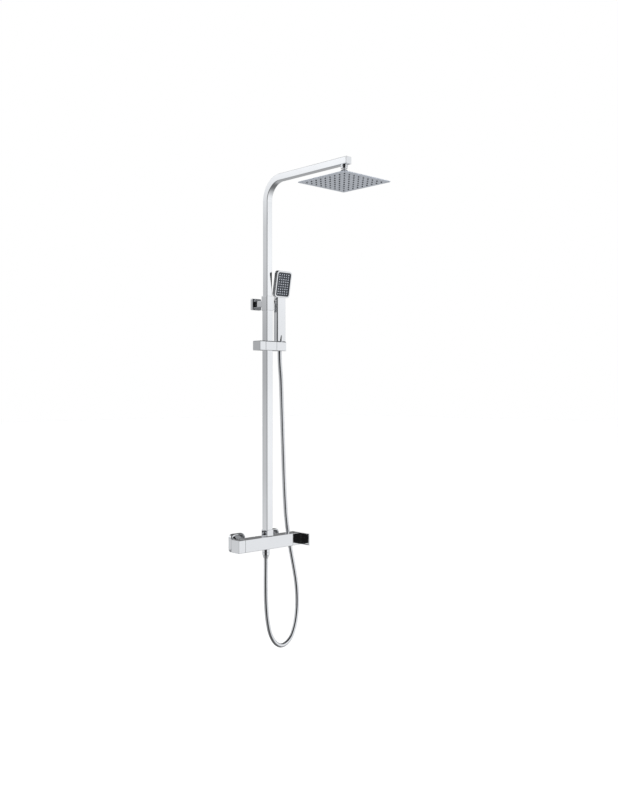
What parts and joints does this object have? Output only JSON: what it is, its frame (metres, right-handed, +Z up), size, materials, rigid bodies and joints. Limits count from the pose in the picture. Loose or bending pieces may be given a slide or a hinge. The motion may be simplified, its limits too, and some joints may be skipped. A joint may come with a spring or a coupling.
{
  "type": "shower column",
  "caption": "Rainfall shower column: thermostatic bar valve, telescopic square riser, square overhead spray on an arm, hand shower on a sliding holder with hose.",
  "frame": {"origin": "the point on the wall's surface midway between the centres of the two water inlets", "axes": "+Z up along the riser, +Y into the wall, +X to the right for someone facing the wall"},
  "size_m": [0.3108, 0.5378, 1.5818],
  "materials": {
    "chrome": "polished chrome plate",
    "tube_chrome": "polished chrome plate on drawn square tube",
    "mirror_chrome": "mirror-bright chrome plate",
    "plated_plastic": "chrome-plated plastic",
    "head_steel": "polished stainless steel sheet",
    "steel": "plain stainless steel",
    "brass": "machined brass",
    "rubber": "matt rubber",
    "bush_plastic": "matt acetal",
    "liner_plastic": "matt acetal",
    "silicone": "soft silicone",
    "spray_face": "satin grey plastic",
    "button": "glossy red plastic",
    "hose": "chrome-plated spiral-wound metal hose"
  },
  "bodies": {
    "root": {"valve_body": "chrome", "flow_cartridge": "brass", "flow_cartridge_nut": "brass", "thermostatic_cartridge": "brass", "thermostatic_cartridge_nut": "brass", "union_washer_left": "rubber", "union_washer_right": "rubber", "union_nut_left": "chrome", "union_nut_right": "chrome", "wall_union_left": "chrome", "wall_union_right": "chrome", "escutcheon_left": "chrome", "escutcheon_right": "chrome", "riser_base_nut": "chrome", "riser_adapter": "brass", "riser_seal": "rubber", "lower_riser": "tube_chrome", "bracket_collar": "chrome", "riser_bush": "bush_plastic", "height_screw": "steel", "bracket_arm": "chrome", "bracket_base": "steel", "bracket_wall_screw": "steel", "bracket_lock_screw": "steel", "hose_outlet_nut": "chrome", "hose_outlet_washer": "rubber", "hose": "hose"},
    "flow_control": {"flow_knob": "chrome", "flow_spindle": "steel", "flow_knob_screw": "steel"},
    "temperature_control": {"temperature_knob": "mirror_chrome", "thermostatic_spindle": "steel", "temperature_knob_screw": "steel", "temperature_lever": "mirror_chrome", "temperature_lever_screw": "steel", "temperature_cap": "mirror_chrome"},
    "stop_button": {"temperature_stop_button": "button"},
    "rain_arm": {"upper_riser": "tube_chrome", "arm_end_cap": "chrome", "arm_nipple": "chrome"},
    "ball_stem": {"swivel_ball": "chrome"},
    "ball_seat": {"swivel_seat": "liner_plastic"},
    "rain_head": {"swivel_nut": "chrome", "head_hub": "chrome", "head_shell": "head_steel", "head_face_plate": "head_steel", "head_nozzle_mat": "silicone"},
    "slider": {"slider_body": "plated_plastic", "slider_liner": "liner_plastic", "holder_pivot": "steel"},
    "slider_lock": {"slider_lock_knob": "plated_plastic", "slider_lock_stud": "steel"},
    "hand_holder": {"holder": "plated_plastic"},
    "hose_end": {"hose_cone_nut": "chrome", "handset_washer": "rubber"},
    "handset": {"handset_inlet": "chrome", "handset_shell": "plated_plastic", "handset_bezel": "plated_plastic", "handset_face": "spray_face", "handset_nozzle_mat": "silicone"}
  },
  "joints": [
    {"name": "riser_height", "type": "slide", "parent": "root", "child": "rain_arm", "axis": [0, 0, 1], "range_m": [-0.25, 0.12]},
    {"name": "head_spin", "type": "hinge", "parent": "rain_arm", "child": "ball_stem", "pos_m": [0.007, -0.4238, 1.166], "axis": [0, 0, 1], "continuous": true},
    {"name": "head_tilt_front", "type": "hinge", "parent": "ball_stem", "child": "ball_seat", "pos_m": [0.007, -0.4238, 1.166], "axis": [1, 0, 0], "range_deg": [-10, 10]},
    {"name": "head_tilt_side", "type": "hinge", "parent": "ball_seat", "child": "rain_head", "pos_m": [0.007, -0.4238, 1.166], "axis": [0, 1, 0], "range_deg": [-10, 10]},
    {"name": "slider_height", "type": "slide", "parent": "root", "child": "slider", "axis": [0, 0, 1], "range_m": [-0.36, 0.095], "deforming": ["hose"]},
    {"name": "slider_lock_turn", "type": "hinge", "parent": "slider", "child": "slider_lock", "pos_m": [-0.015, -0.066, 0.6534], "axis": [1, 0, 0], "range_deg": [0, 180]},
    {"name": "holder_tilt", "type": "hinge", "parent": "slider", "child": "hand_holder", "pos_m": [0.032, -0.066, 0.6534], "axis": [1, 0, 0], "range_deg": [-10, 40]},
    {"name": "handset_lift", "type": "slide", "parent": "hand_holder", "child": "hose_end", "axis": [0, 0, 1], "range_m": [0, 0.035]},
    {"name": "handset_swivel", "type": "hinge", "parent": "hose_end", "child": "handset", "pos_m": [0.057, -0.0705, 0.6696], "axis": [0, 0, 1], "range_deg": [-15, 75]},
    {"name": "flow_turn", "type": "hinge", "parent": "root", "child": "flow_control", "pos_m": [-0.103, -0.066, 0], "axis": [1, 0, 0], "range_deg": [-90, 90]},
    {"name": "temperature_turn", "type": "hinge", "parent": "root", "child": "temperature_control", "pos_m": [0.103, -0.066, 0], "axis": [1, 0, 0], "range_deg": [-90, 60]},
    {"name": "stop_button_press", "type": "slide", "parent": "temperature_control", "child": "stop_button", "axis": [0, 0, -1], "range_m": [0, 0.0012], "stiffness_N_per_m": 400, "springref_m": -0.001}
  ]
}
